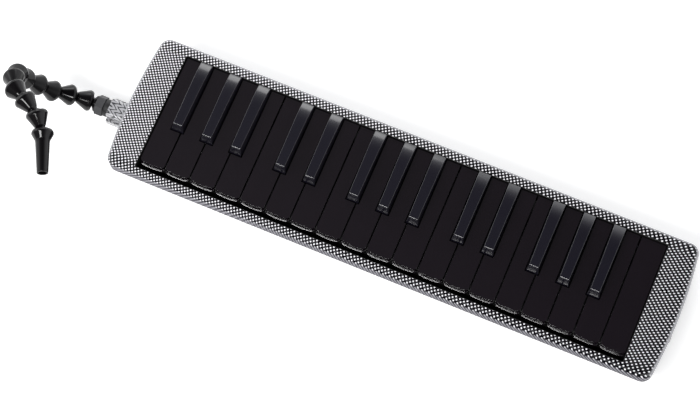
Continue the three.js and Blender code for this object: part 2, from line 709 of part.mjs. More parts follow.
function socketProfile() {
  const back = THREE.MathUtils.radToDeg(Math.acos(AIRWAY_RADIUS / SOCKET_RADIUS));
  return arcPoints([0, 0], SOCKET_RADIUS, back, SOCKET_RIM_ANGLE, 4);
}

const BALL_TIP = BALL_RADIUS * Math.sin(THREE.MathUtils.degToRad(BALL_TIP_ANGLE));

const BELL_RIM = [
  [6.3, -2.9],
  [7.5, -2.3],
  [BELL_RADIUS, -0.9],
  [BELL_RADIUS, 0.3],
];

// One segment: the socket's centre is at height 0 and its own ball's centre is one pitch above it.
function tubeSegment() {
  const closed = [
    ...BELL_RIM,
    [4.3, 8.2],
    [NECK_RADIUS, 9],
    ...ballProfile(TUBE_PITCH),
    [AIRWAY_RADIUS, TUBE_PITCH + BALL_TIP],
    ...socketProfile(),
    BELL_RIM[0],
  ];
  return lathe(closed);
}

function mouthNozzle() {
  const closed = [
    ...BELL_RIM,
    [5.5, 4.6],
    [5.2, 7],
    [4.2, NOZZLE_LENGTH - 0.4],
    [3.9, NOZZLE_LENGTH],
    [NOZZLE_BORE, NOZZLE_LENGTH],
    [NOZZLE_BORE, 8],
    ...socketProfile(),
    BELL_RIM[0],
  ];
  return lathe(closed, 14);
}

// Pieces of the plug are drawn with height 0 at the end of the spout.
function ballAdaptor() {
  const nutEnd = GAP + COLLAR_LENGTH + GAP + NUT_LENGTH;
  const ball = SPOUT_END_X - FIRST_BALL_X;
  const closed = [
    [AIRWAY_RADIUS, -PLUG_LENGTH],
    [PLUG_RADIUS - 0.3, -PLUG_LENGTH],
    [PLUG_RADIUS, 2 - PLUG_LENGTH],
    [PLUG_RADIUS, nutEnd + GAP],
    [5.6, nutEnd + GAP],
    [5.2, nutEnd + 1],
    [4.3, nutEnd + 1.9],
    ...ballProfile(ball),
    [AIRWAY_RADIUS, ball + BALL_TIP],
    [AIRWAY_RADIUS, -PLUG_LENGTH],
  ];
  return lathe(closed, 14);
}

function ringPrism(outer, inner, [h0, h1], sides) {
  const shape = outline(arcPoints([0, 0], outer, 0, 360, sides).slice(0, -1));
  const hole = arcPoints([0, 0], inner, 0, 360, 14).map(([u, v]) => new THREE.Vector2(u, v));
  shape.holes.push(new THREE.Path(hole));
  const geometry = new THREE.ExtrudeGeometry(shape, { depth: h1 - h0, bevelEnabled: false });
  geometry.translate(0, 0, h0);
  geometry.rotateX(-Math.PI / 2);
  return geometry;
}

function headingOf([heading, rise]) {
  const turn = THREE.MathUtils.degToRad(heading);
  const lift = THREE.MathUtils.degToRad(rise);
  return new THREE.Vector3(Math.cos(lift) * Math.cos(turn), Math.cos(lift) * Math.sin(turn), Math.sin(lift));
}

// ---------------------------------------------------------------- materials

function finish(color, roughness, metalness = 0) {
  return new THREE.MeshStandardMaterial({ color, roughness, metalness });
}

const FINISH = {
  shell: finish(0xb9b9bb, 0.3),
  lining: finish(0x1c1b1d, 0.6),
  natural: finish(0x2d2a2b, 0.45),
  sharp: finish(0x2b2c31, 0.25),
  tube: finish(0x19181a, 0.2),
  collar: finish(0x5a595c, 0.6),
  block: finish(0x77777a, 0.6),
  brass: finish(0xb08d4a, 0.35, 1),
  steel: finish(0xa9abae, 0.3, 1),
  rubber: finish(0x232323, 0.85),
  felt: finish(0x6d2a2a, 1),
};

// ---------------------------------------------------------------- assembly

function node(name, shape, material) {
  const mesh = new THREE.Mesh(shape.isBufferGeometry ? shape : geometryOf(shape), material);
  mesh.name = name;
  return mesh;
}

function caseGroup() {
  const group = new THREE.Group();
  group.add(node("top_cover", topCover(), FINISH.shell));
  group.add(node("bottom_cover", bottomCover(), FINISH.lining));
  return group;
}

function windWay() {
  const low = KEYS.slice(0, KEYS.length / 2);
  const high = KEYS.slice(KEYS.length / 2);
  const middle = (low.at(-1).x + high[0].x) / 2;
  const group = new THREE.Group();
  group.add(node("inlet_pipe", inletPipe(), FINISH.lining));
  group.add(node("wind_tray", windTray(), FINISH.block));
  group.add(node("tray_gasket", gasket(), FINISH.rubber));
  group.add(node("reed_plate_low", reedPlate(low, [-BLOCK_HALF, middle - GAP / 2]), FINISH.brass));
  group.add(node("reed_plate_high", reedPlate(high, [middle + GAP / 2, BLOCK_HALF]), FINISH.brass));
  group.add(node("reed_block", reedBlock(), FINISH.block));
  group.add(node("water_valve_button", valveButton(), FINISH.lining));
  group.add(node("water_valve_spring", valveSpring(), FINISH.steel));
  return group;
}

function keyAction() {
  const group = new THREE.Group();
  group.add(node("valve_plate", valvePlate(), FINISH.block));
  group.add(node("key_rod", keyRod(), FINISH.steel));
  group.add(node("spring_comb", springComb(), FINISH.steel));
  group.add(node("stop_felt", stopFelt(), FINISH.felt));
  for (const key of KEYS) {
    const solid = key.sharp ? sharpKey(key) : naturalKey(key);
    group.add(node(key.name, solid, key.sharp ? FINISH.sharp : FINISH.natural));
  }
  return group;
}

function mouthTube() {
  const plug = new THREE.Group();
  const collarEnd = GAP + COLLAR_LENGTH;
  const nutStart = collarEnd + GAP;
  const bore = PLUG_RADIUS + GAP;
  plug.position.set(SPOUT_END_X, SPOUT_Y, SPLIT_Z);
  plug.rotation.z = Math.PI / 2;
  plug.add(node("plug_collar", ringPrism(COLLAR_RADIUS, bore, [GAP, collarEnd], 16), FINISH.collar));
  const nut = ringPrism(NUT_RADIUS, bore, [nutStart, nutStart + NUT_LENGTH], 6);
  plug.add(node("hex_nut", nut, FINISH.collar));
  plug.add(node("ball_adaptor", ballAdaptor(), FINISH.tube));

  const tube = new THREE.Group();
  tube.add(plug);
  const up = new THREE.Vector3(0, 1, 0);
  const joint = new THREE.Vector3(FIRST_BALL_X, SPOUT_Y, SPLIT_Z);
  TUBE_POSE.forEach((pose, i) => {
    const last = i === TUBE_POSE.length - 1;
    const number = String(i + 1).padStart(2, "0");
    const name = last ? "mouth_nozzle" : `tube_segment_${number}`;
    const mesh = node(name, last ? mouthNozzle() : tubeSegment(), FINISH.tube);
    const direction = headingOf(pose);
    mesh.position.copy(joint);
    mesh.quaternion.setFromUnitVectors(up, direction);
    tube.add(mesh);
    joint.addScaledVector(direction, TUBE_PITCH);
  });
  return tube;
}

const melodica = new THREE.Group();
melodica.add(caseGroup(), windWay(), keyAction(), mouthTube());

export default melodica;
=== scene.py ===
"""The looks of the melodica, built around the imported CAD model. Lengths are in metres."""

import json
import math

import bmesh
import bpy
from mathutils import Matrix, Vector


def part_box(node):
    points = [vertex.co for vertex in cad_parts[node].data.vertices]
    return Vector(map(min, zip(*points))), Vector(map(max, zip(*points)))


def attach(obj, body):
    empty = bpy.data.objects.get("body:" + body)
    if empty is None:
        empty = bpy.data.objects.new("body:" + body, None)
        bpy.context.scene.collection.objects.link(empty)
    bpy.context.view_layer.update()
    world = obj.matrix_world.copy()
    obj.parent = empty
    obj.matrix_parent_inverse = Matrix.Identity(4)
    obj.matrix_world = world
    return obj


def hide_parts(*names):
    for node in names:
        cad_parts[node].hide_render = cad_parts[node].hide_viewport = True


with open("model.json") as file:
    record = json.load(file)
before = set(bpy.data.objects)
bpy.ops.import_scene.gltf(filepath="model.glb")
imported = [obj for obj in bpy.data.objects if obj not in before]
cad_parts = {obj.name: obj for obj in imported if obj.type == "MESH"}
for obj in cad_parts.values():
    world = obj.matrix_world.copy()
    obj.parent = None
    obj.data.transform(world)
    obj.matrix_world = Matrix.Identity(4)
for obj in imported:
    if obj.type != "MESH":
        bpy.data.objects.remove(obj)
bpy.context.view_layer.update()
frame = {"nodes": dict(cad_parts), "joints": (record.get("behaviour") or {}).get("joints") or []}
NODES = frame["nodes"]
JOINTS = {joint["name"]: joint for joint in frame["joints"]}
MM = 0.001

# ---------------------------------------------------------------- camera

# The photograph's view: from high in front, rolled so that the high notes run down to the right.
CAMERA_PLACE = Vector((0.1571, -0.3961, 1.4391))
CAMERA_RIGHT = Vector((0.9211, 0.3887, -0.0195))
CAMERA_UP = Vector((-0.3672, 0.8844, 0.2881))
LENS = 103.6

camera = bpy.data.objects.new("camera", bpy.data.cameras.new("camera"))
bpy.context.scene.collection.objects.link(camera)
bpy.context.scene.camera = camera
right = CAMERA_RIGHT.normalized()
up = (CAMERA_UP - right * CAMERA_UP.dot(right)).normalized()
turned = Matrix((right, up, right.cross(up))).transposed().to_4x4()
camera.matrix_world = Matrix.Translation(CAMERA_PLACE) @ turned
camera.data.sensor_width = 36
camera.data.lens = LENS
camera.data.clip_start = 0.05
camera.data.clip_end = 20

# ---------------------------------------------------------------- materials


class Shader:
    """A Principled material with a few short ways to wire nodes to it."""

    def __init__(self, name, color, roughness, metallic=0.0, **constants):
        self.material = bpy.data.materials.new(name)
        self.material.use_nodes = True
        self.tree = self.material.node_tree
        self.bsdf = self.tree.nodes["Principled BSDF"]
        self.place = self.tree.nodes.new("ShaderNodeTexCoord")
        self.bsdf.inputs["Base Color"].default_value = (*color, 1)
        self.bsdf.inputs["Roughness"].default_value = roughness
        self.bsdf.inputs["Metallic"].default_value = metallic
        for key, value in constants.items():
            self.bsdf.inputs[key.replace("_", " ")].default_value = value

    def put(self, value, socket):
        if isinstance(value, bpy.types.NodeSocket):
            self.tree.links.new(value, socket)
        elif value is not None:
            socket.default_value = value

    def math(self, operation, *values):
        node = self.tree.nodes.new("ShaderNodeMath")
        node.operation = operation
        for socket, value in zip(node.inputs, values):
            self.put(value, socket)
        return node.outputs[0]

    def weighted(self, *pairs, plus=0.0):
        """The sum of value * weight over the pairs, and plus."""
        total = plus
        for value, weight in pairs:
            total = self.math("MULTIPLY_ADD", value, weight, total)
        return total

    def axes(self, socket):
        node = self.tree.nodes.new("ShaderNodeSeparateXYZ")
        self.put(socket, node.inputs[0])
        return node.outputs[0], node.outputs[1], node.outputs[2]

    def stretched(self, scale):
        node = self.tree.nodes.new("ShaderNodeMapping")
        self.put(self.place.outputs["Object"], node.inputs["Vector"])
        node.inputs["Scale"].default_value = scale
        return node.outputs[0]

    def noise(self, scale, detail=2.0, where=None, roughness=0.5):
        node = self.tree.nodes.new("ShaderNodeTexNoise")
        self.put(where or self.place.outputs["Object"], node.inputs["Vector"])
        node.inputs["Scale"].default_value = scale
        node.inputs["Detail"].default_value = detail
        node.inputs["Roughness"].default_value = roughness
        return node.outputs[0]

    def between(self, factor, low, high):
        """A number that goes from low to high as factor goes from 0 to 1."""
        return self.math("MULTIPLY_ADD", factor, high - low, low)

    def smooth(self, value, start, end):
        """A number that eases from 0 to 1 as value goes from start to end."""
        node = self.tree.nodes.new("ShaderNodeMapRange")
        node.interpolation_type = "SMOOTHSTEP"
        self.put(value, node.inputs["Value"])
        self.put(start, node.inputs["From Min"])
        self.put(end, node.inputs["From Max"])
        return node.outputs[0]

    def mix(self, factor, low, high):
        node = self.tree.nodes.new("ShaderNodeMix")
        node.data_type = "RGBA"
        self.put(factor, node.inputs["Factor"])
        for name, color in (("A", low), ("B", high)):
            socket = [s for s in node.inputs if s.name == name and s.type == "RGBA"][0]
            self.put(color if isinstance(color, bpy.types.NodeSocket) else (*color, 1), socket)
        return [s for s in node.outputs if s.type == "RGBA"][0]

    def bump(self, height, strength, distance):
        node = self.tree.nodes.new("ShaderNodeBump")
        node.inputs["Strength"].default_value = strength
        node.inputs["Distance"].default_value = distance
        self.put(height, node.inputs["Height"])
        previous = self.bsdf.inputs["Normal"].links
        if previous:
            self.put(previous[0].from_socket, node.inputs["Normal"])
        self.put(node.outputs[0], self.bsdf.inputs["Normal"])

    def set(self, name, value):
        self.put(value, self.bsdf.inputs[name])


def moulded(name, dark, light, roughness, grain, grain_depth, wave_depth=0.00002, **constants):
    """Moulded plastic: a faint mottle, a fine grain, and a surface that is never quite flat."""
    shader = Shader(name, dark, roughness[0], **constants)
    mottle = shader.noise(60, 4)
    fine = shader.noise(grain, 2)
    shader.set("Base Color", shader.mix(mottle, dark, light))
    shader.set("Roughness", shader.between(shader.noise(140, 5, roughness=0.7), *roughness))
    shader.bump(shader.noise(35, 2), 0.6, wave_depth)
    shader.bump(fine, 0.5, grain_depth)
    return shader.material


# The printed film of the covers is a lattice of white dots on black, where two families of waves, A and B,
# cross. The film stretched as it was laid on, so the waves are wider towards the high notes, at the two ends
# and on the long rails. Down the walls the dots run out into stripes: of family B at the low end, and mostly
# of family A elsewhere. Waves are counted per mm, and places are in mm.
WAVE_A_ALONG = 0.372
WAVE_A_WIDENING = 0.00027
WAVE_A_WIDENING_AT_HIGH_END = (0.00227, 165)
WAVE_A_WIDENING_AT_LOW_END = (0.0008, 150)
WAVE_A_ACROSS = (0.285, 0.19)
WAVE_A_DOWN = (-0.09, -0.0004)
WAVE_B_ALONG = 0.23
WAVE_B_ACROSS = (-0.455, -0.38)
WAVE_B_DOWN = (0.03, -0.0007)
RAIL_STARTS_Y = 44.5
FRONT_RAIL_Y = (-44.5, -46.5)
FRONT_FILLET_Y = (-47.5, -50.5)
WALL_DROP = (1.0, 5.0)
LOW_END_X = (-60, -150)
B_HIDDEN_ON_WALL = 0.6
# A dot is white where the two waves together stand above this threshold.
DOT_THRESHOLD = 0.66
DOT_THRESHOLD_ALONG = 0.0011
DOT_THRESHOLD_ON_FRONT_RAIL = 0.2
DOT_THRESHOLD_ON_WALL = -0.82
DOT_EDGE = 0.12
FILM_SPECULAR, FRONT_SPECULAR = 0.4, 0.03
FILM_COAT, FRONT_COAT = 0.2, 0.01
RIM_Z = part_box("top_cover")[1].z
FILM_WHITE = (0.93, 0.92, 0.96)
FILM_BLACK = (0.0015, 0.0012, 0.0025)
WALL_WHITE = (0.25, 0.245, 0.275)
WALL_DARK = (0.035, 0.032, 0.046)
# The grey of the painted reflection on the end and back walls and their fillets.
PAINTED_REFLECTION_GREY = (0.40, 0.40, 0.42)


def woven_film(name):
    """The printed film: dots on the top and stripes on the front wall, with a painted reflection that turns
    the end and back walls and their fillets plain grey.
    """
    shader = Shader(name, (0.5, 0.5, 0.5), 0.3, Coat_Weight=FILM_COAT, Coat_Roughness=0.1)
    spot = shader.axes(shader.place.outputs["Object"])
    x, y, z = [shader.math("MULTIPLY", value, 1 / MM) for value in spot]
    _, ny, nz = shader.axes(shader.place.outputs["Normal"])
    drop = shader.math("MAXIMUM", shader.math("SUBTRACT", RIM_Z / MM, z), 0)
    down = shader.math("MULTIPLY", drop, shader.math("MULTIPLY", ny, -1))

    def beyond(start, way):
        over = shader.math("MAXIMUM", shader.weighted((x, way), plus=-start), 0)
        return shader.math("MULTIPLY", over, over)

    def across(slopes):
        reach = shader.math("ABSOLUTE", y)
        past = shader.math("MAXIMUM", shader.weighted((reach, 1), plus=-RAIL_STARTS_Y), 0)
        rail = shader.math("MULTIPLY", past, shader.math("SIGN", y))
        return shader.weighted((y, slopes[0]), (rail, slopes[1] - slopes[0]))

    def down_wall(slopes):
        return shader.math("MULTIPLY", down, shader.weighted((x, slopes[1]), plus=slopes[0]))

    wave_a = shader.weighted(
        (x, WAVE_A_ALONG),
        (shader.math("MULTIPLY", x, x), -WAVE_A_WIDENING / 2),
        (beyond(WAVE_A_WIDENING_AT_HIGH_END[1], 1), -WAVE_A_WIDENING_AT_HIGH_END[0] / 2),
        (beyond(WAVE_A_WIDENING_AT_LOW_END[1], -1), WAVE_A_WIDENING_AT_LOW_END[0] / 2),
        (across(WAVE_A_ACROSS), 1),
        (down_wall(WAVE_A_DOWN), 1),
        (shader.noise(30, 2), 0.8),
    )
    wave_b = shader.weighted(
        (x, WAVE_B_ALONG),
        (across(WAVE_B_ACROSS), 1),
        (down_wall(WAVE_B_DOWN), 1),
        (shader.noise(24, 2), 0.6),
    )
    turns = [shader.math("MULTIPLY", wave, 2 * math.pi) for wave in (wave_a, wave_b)]
    turn_a, turn_b = [shader.math("COSINE", turn) for turn in turns]
    on_wall = shader.smooth(drop, *WALL_DROP)
    on_front = shader.math("MAXIMUM", on_wall, shader.smooth(y, *FRONT_FILLET_Y))
    low_end = shader.smooth(x, *LOW_END_X)
    hide_a = shader.math("MULTIPLY", on_wall, low_end)
    hide_b = shader.math("MULTIPLY", shader.math("SUBTRACT", on_wall, hide_a), B_HIDDEN_ON_WALL)
    shown_a = shader.math("MULTIPLY", turn_a, shader.weighted((hide_a, -1), plus=1))
    shown_b = shader.math("MULTIPLY", turn_b, shader.weighted((hide_b, -1), plus=1))
    height = shader.math("ADD", shown_a, shown_b)
    threshold = shader.weighted(
        (x, DOT_THRESHOLD_ALONG),
        (shader.smooth(y, *FRONT_RAIL_Y), DOT_THRESHOLD_ON_FRONT_RAIL),
        (on_wall, DOT_THRESHOLD_ON_WALL),
        plus=DOT_THRESHOLD,
    )
    white = shader.smooth(shader.math("SUBTRACT", height, threshold), -DOT_EDGE, DOT_EDGE)
    dark = shader.mix(on_wall, FILM_BLACK, WALL_DARK)
    light = shader.mix(on_wall, FILM_WHITE, WALL_WHITE)
    film = shader.mix(white, dark, light)
    # Painted reflection: where the surface turns steep, away from the front, the film is mixed towards a
    # flat grey, as if mirroring the pale studio.
    steep = shader.smooth(nz, 0.99, 0.7)
    painted_reflection_mask = shader.math("MULTIPLY", steep, shader.smooth(ny, -0.7, -0.1))
    shader.set("Base Color", shader.mix(painted_reflection_mask, film, PAINTED_REFLECTION_GREY))
    shader.set("Roughness", shader.between(shader.noise(120, 4), 0.24, 0.34))
    shader.set("Specular IOR Level", shader.between(on_front, FILM_SPECULAR, FRONT_SPECULAR))
    shader.set("Coat Weight", shader.between(on_front, FILM_COAT, FRONT_COAT))
    shader.bump(shader.noise(40, 2), 0.5, 0.00003)
    return shader.material


def crumpled_film(name):
    """The film where it was drawn over the spout: the dots are pulled out into zigzag streaks."""
    shader = Shader(name, (0.5, 0.5, 0.5), 0.3, Coat_Weight=0.8, Coat_Roughness=0.1, Coat_IOR=1.6)
    spot = shader.axes(shader.place.outputs["Object"])
    x, y, z = [shader.math("MULTIPLY", value, 1 / MM) for value in spot]
    streak_width = 2.6
    zigzag = shader.math("PINGPONG", shader.weighted((y, 1), (x, 0.25)), streak_width)
    wave = shader.weighted((x, 0.2), (zigzag, 0.42), (z, 0.16), (shader.noise(160, 3), 1.5))
    turn = shader.math("COSINE", shader.math("MULTIPLY", wave, 2 * math.pi))
    white = shader.smooth(turn, -0.85, -0.1)
    shade = shader.between(shader.noise(260, 2), 0.55, 1.0)
    light = shader.mix(shade, (0.22, 0.22, 0.24), (0.56, 0.56, 0.58))
    shader.set("Base Color", shader.mix(white, (0.02, 0.02, 0.025), light))
    shader.set("Roughness", shader.between(shader.noise(120, 4), 0.24, 0.34))
    shader.bump(shader.noise(40, 2), 0.5, 0.00003)
    return shader.material


def steel(name, color, direction):
    """Drawn or rolled steel, with fine lines along the long direction."""
    shader = Shader(name, color, 0.3, metallic=1.0)
    lines = shader.noise(900, 3, where=shader.stretched(direction))
    shader.set("Roughness", shader.between(lines, 0.22, 0.42))
    shader.set("Base Color", shader.mix(shader.noise(90, 4), color, tuple(c * 0.82 for c in color)))
    shader.bump(lines, 0.3, 0.000008)
    return shader.material


def brass(name):
    shader = Shader(name, (0.69, 0.5, 0.22), 0.3, metallic=1.0)
    lines = shader.noise(700, 3, where=shader.stretched((1, 0.04, 1)))
    tarnish = shader.smooth(shader.noise(45, 5, roughness=0.6), 0.5, 0.75)
    shader.set("Base Color", shader.mix(tarnish, (0.69, 0.5, 0.22), (0.42, 0.27, 0.11)))
    shader.set("Roughness", shader.between(lines, 0.25, 0.5))
    shader.bump(lines, 0.3, 0.000008)
    return shader.material


def felt(name, dark, light):
    shader = Shader(name, dark, 0.95, Sheen_Weight=0.5, Sheen_Roughness=0.5)
    fibre = shader.noise(2600, 5, roughness=0.75)
    shader.set("Base Color", shader.mix(fibre, dark, light))
    shader.bump(fibre, 0.9, 0.0003)
    return shader.material


WOVEN = woven_film("woven_film")
CRUMPLED = crumpled_film("crumpled_film")
NATURAL = moulded(
    "natural_satin",
    dark=(0.0042, 0.0018, 0.0044),
    light=(0.0058, 0.0028, 0.0060),
    roughness=(0.34, 0.44),
    grain=2600,
    grain_depth=0.000006,
    wave_depth=0.00001,
    Specular_IOR_Level=0.08,
    Coat_Weight=1.0,
    Coat_Roughness=0.10,
    Coat_IOR=1.9,
)
SHARP = moulded(
    "sharp_gloss",
    dark=(0.0056, 0.0048, 0.0104),
    light=(0.0074, 0.0064, 0.0130),
    roughness=(0.26, 0.34),
    grain=1800,
    grain_depth=0.000005,
    Specular_IOR_Level=0.2,
    Coat_Weight=1.0,
    Coat_Roughness=0.16,
    Coat_IOR=1.75,
)
TUBE = moulded(
    "tube_gloss",
    dark=(0.0030, 0.0026, 0.0032),
    light=(0.0046, 0.0040, 0.0048),
    roughness=(0.08, 0.14),
    grain=900,
    grain_depth=0.000006,
    wave_depth=0.00003,
    Specular_IOR_Level=0.35,
)
# name, dark, light, roughness, grain, grain depth
NUT = moulded("nut_matt", (0.046, 0.046, 0.050), (0.064, 0.064, 0.068), (0.50, 0.66), 3200, 3e-5)
COLLAR = moulded("collar_matt", (0.009, 0.009, 0.010), (0.014, 0.014, 0.016), (0.45, 0.60), 3200, 3e-5)
LINING = moulded("cover_black", (0.0085, 0.0085, 0.009), (0.0125, 0.0125, 0.013), (0.48, 0.62), 1500, 4.5e-5)
INSIDE = moulded("opening_black", (0.004, 0.0038, 0.0042), (0.006, 0.0056, 0.0062), (0.45, 0.60), 1500, 3e-5)
BLOCK = moulded("block_grey", (0.20, 0.20, 0.205), (0.26, 0.26, 0.265), (0.50, 0.65), 1800, 3e-5)
RUBBER = moulded("gasket_rubber", (0.016, 0.016, 0.016), (0.026, 0.026, 0.026), (0.75, 0.9), 2200, 5e-5)
BRASS = brass("reed_brass")
STEEL = steel("drawn_steel", (0.60, 0.61, 0.62), (0.03, 1, 1))
BLUED = steel("blued_steel", (0.030, 0.032, 0.040), (1, 0.03, 1))
SCREW = steel("screw_steel", (0.46, 0.46, 0.47), (1, 1, 1))
FELT = felt("stop_felt_dark", (0.006, 0.006, 0.007), (0.014, 0.014, 0.016))

# ---------------------------------------------------------------- mesh tools

SMOOTH_ANGLE = math.radians(32)
BEVEL_ANGLE = math.radians(38)
TINY = 1e-6


def keep_crisp(bm):
    """Marks every edge sharper than SMOOTH_ANGLE, so that it stays crisp on smooth faces."""
    for edge in bm.edges:
        edge.smooth = len(edge.link_faces) == 2 and edge.calc_face_angle(0) < SMOOTH_ANGLE
    for face in bm.faces:
        face.smooth = True


def piece(name, bm, materials, body, replaces=(), bevel=None):
    """Turns bm into a piece that rides on a body. bevel is (limit method, width, segments)."""
    bmesh.ops.recalc_face_normals(bm, faces=bm.faces)
    mesh = bpy.data.meshes.new(name)
    if bevel:
        for face in bm.faces:
            face.smooth = True
    else:
        keep_crisp(bm)
    bm.to_mesh(mesh)
    bm.free()
    obj = bpy.data.objects.new(name, mesh)
    bpy.context.scene.collection.objects.link(obj)
    for material in materials:
        mesh.materials.append(material)
    if bevel:
        method, width, segments = bevel
        modifier = obj.modifiers.new("edges", "BEVEL")
        modifier.limit_method = method
        modifier.angle_limit = BEVEL_ANGLE
        modifier.width = width
        modifier.segments = segments
        normals = obj.modifiers.new("normals", "WEIGHTED_NORMAL")
        normals.keep_sharp = False
    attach(obj, body)
    if replaces:
        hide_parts(*replaces)
    return obj


def arc(centre, radius, start, end, steps):
    angles = [math.radians(start + (end - start) * i / steps) for i in range(steps + 1)]
    return [(centre[0] + radius * math.cos(a), centre[1] + radius * math.sin(a)) for a in angles]


def eased(points):
    """An open path through (u, v, radius) points whose corners are rounded by their radius."""
    path = []
    steps = 5
    for i, (u, v, radius) in enumerate(points):
        here = Vector((u, v))
        if not radius or i in (0, len(points) - 1):
            path.append((u, v))
            continue
        before = Vector(points[i - 1][:2]) - here
        after = Vector(points[i + 1][:2]) - here
        half = before.angle(after) / 2
        reach = min(radius / math.tan(half), 0.48 * before.length, 0.48 * after.length)
        first, last = here + before.normalized() * reach, here + after.normalized() * reach
        for k in range(steps + 1):
            t = k / steps
            spot = first * (1 - t) ** 2 + here * 2 * t * (1 - t) + last * t ** 2
            path.append((spot.x, spot.y))
    return path


def lathed(profile, place, sides=48):
    """A (radius, height) loop turned about the Z axis of place. Its two ends may lie on the axis."""
    bm = bmesh.new()
    around = [(math.cos(2 * math.pi * i / sides), math.sin(2 * math.pi * i / sides)) for i in range(sides)]
    rings = []
    for radius, height in profile:
        if radius < TINY * MM:
            rings.append([bm.verts.new(place @ Vector((0, 0, height)))])
        else:
            spots = [Vector((radius * u, radius * v, height)) for u, v in around]
            rings.append([bm.verts.new(place @ spot) for spot in spots])
    closed = len(rings[0]) > 1
    for a, b in zip(rings, rings[1:] + (rings[:1] if closed else [])):
        for i in range(sides):
            j = (i + 1) % sides
            corners = [a[i % len(a)], a[j % len(a)], b[j % len(b)], b[i % len(b)]]
            bm.faces.new(list(dict.fromkeys(corners)))
    return bm


def metres(profile):
    """A profile given in mm."""
    return [(radius * MM, height * MM) for radius, height in profile]


def looped(rings, close):
    """Rings with equal counts, joined one to the next. The last joins the first, or both are capped."""
    bm = bmesh.new()
    made = [[bm.verts.new(p) for p in ring] for ring in rings]
    bands = []
    for a, b in zip(made, made[1:] + (made[:1] if close else [])):
        corners = zip(a, a[1:] + a[:1], b[1:] + b[:1], b)
        bands.append([bm.faces.new(four) for four in corners])
    if not close:
        bm.faces.new(made[0])
        bm.faces.new(made[-1])
    return bm, bands


def prism(bm, profile, x0, x1):
    """Adds a (y, z) outline carried from x0 to x1."""
    low = [bm.verts.new((x0, y, z)) for y, z in profile]
    high = [bm.verts.new((x1, y, z)) for y, z in profile]
    count = len(profile)
    for i in range(count):
        j = (i + 1) % count
        bm.faces.new((low[i], low[j], high[j], high[i]))
    bm.faces.new(low)
    bm.faces.new(high)


def block(bm, low, high):
    prism(bm, [(low[1], low[2]), (high[1], low[2]), (high[1], high[2]), (low[1], high[2])], low[0], high[0])


def cut(obj, *cutters):
    """Takes the cutters out of obj for good."""
    for bm in cutters:
        bmesh.ops.recalc_face_normals(bm, faces=bm.faces)
        mesh = bpy.data.meshes.new("cutter")
        bm.to_mesh(mesh)
        bm.free()
        tool = bpy.data.objects.new("cutter", mesh)
        bpy.context.scene.collection.objects.link(tool)
        modifier = obj.modifiers.new("cut", "BOOLEAN")
        modifier.operation = "DIFFERENCE"
        modifier.solver = "EXACT"
        modifier.object = tool
        depsgraph = bpy.context.evaluated_depsgraph_get()
        done = bpy.data.meshes.new_from_object(obj.evaluated_get(depsgraph))
        obj.modifiers.remove(modifier)
        obj.data = done
        bpy.data.objects.remove(tool)
    done = bmesh.new()
    done.from_mesh(obj.data)
    keep_crisp(done)
    done.to_mesh(obj.data)
    done.free()


def along(origin, direction):
    """A frame at origin whose Z axis is direction."""
    return Matrix.Translation(origin) @ direction.to_track_quat("Z", "Y").to_matrix().to_4x4()


# ---------------------------------------------------------------- case

CORNER_STEPS = 12
SIDE_STEPS = 12


def plan_ring(low, high, corner, z, bow=0.0):
    """A rounded rectangle from low to high (x, y) with bowed ends. Its count of points never changes."""
    ring = []
    x0, y0, x1, y1 = *low, *high
    corner = max(corner, 0.05 * MM)
    middle_x, middle_y = (x0 + x1) / 2, (y0 + y1) / 2
    straight = (y1 - y0) / 2 - corner
    x0, x1 = x0 + bow, x1 - bow
    for cx, cy, start in (
        (x1 - corner, y1 - corner, 0),
        (x0 + corner, y1 - corner, 90),
        (x0 + corner, y0 + corner, 180),
        (x1 - corner, y0 + corner, 270),
    ):
        ring += arc((cx, cy), corner, start, start + 90, CORNER_STEPS)
    spaced = []
    for i, point in enumerate(ring):
        spaced.append((*point, z))
        if i % (CORNER_STEPS + 1) == CORNER_STEPS:
            after = ring[(i + 1) % len(ring)]
            for k in range(1, SIDE_STEPS):
                t = k / SIDE_STEPS
                x, y = [point[axis] + (after[axis] - point[axis]) * t for axis in (0, 1)]
                out = bow * max(1 - ((y - middle_y) / straight) ** 2, 0)
                spaced.append((x + math.copysign(out, x - middle_x), y, z))
    return spaced


COVER_LOW, COVER_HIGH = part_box("top_cover")
HALF_LENGTH = COVER_HIGH.x
HALF_DEPTH = COVER_HIGH.y
SPLIT_Z = COVER_LOW.z
SPOUT_END_X = COVER_LOW.x
SPOUT_Y = JOINTS["plug_turn"]["pos_m"][1]
SPOUT_Z = JOINTS["plug_turn"]["pos_m"][2]
CORNER = 8 * MM
END_BOW = 2.8 * MM
WALL = 2.2 * MM
TOP_FILLET = 3.8 * MM
OPENING_LOW = (-190.3 * MM, -48.2 * MM)
OPENING_HIGH = (190.3 * MM, 45 * MM)
SKIRT = 1.6 * MM
SKIRT_BOTTOM = 30 * MM
LIP = 0.35 * MM
FILLET_STEPS = 9


def case_ring(inset, z):
    low = (-HALF_LENGTH + inset, -HALF_DEPTH + inset)
    high = (HALF_LENGTH - inset, HALF_DEPTH - inset)
    return plan_ring(low, high, CORNER - inset, z, END_BOW)


def opening_ring(grow, z, corner=0.8 * MM):
    low = (OPENING_LOW[0] - grow, OPENING_LOW[1] - grow)
    high = (OPENING_HIGH[0] + grow, OPENING_HIGH[1] + grow)
    return plan_ring(low, high, corner + grow, z)


def quarter(radius, steps):
    """The (inset, drop) points of a rounded edge, from the wall at (0, radius) to the top at (radius, 0)."""
    angles = [math.pi / 2 * k / steps for k in range(steps + 1)]
    return [(radius * (1 - math.cos(angle)), radius * (1 - math.sin(angle))) for angle in angles]


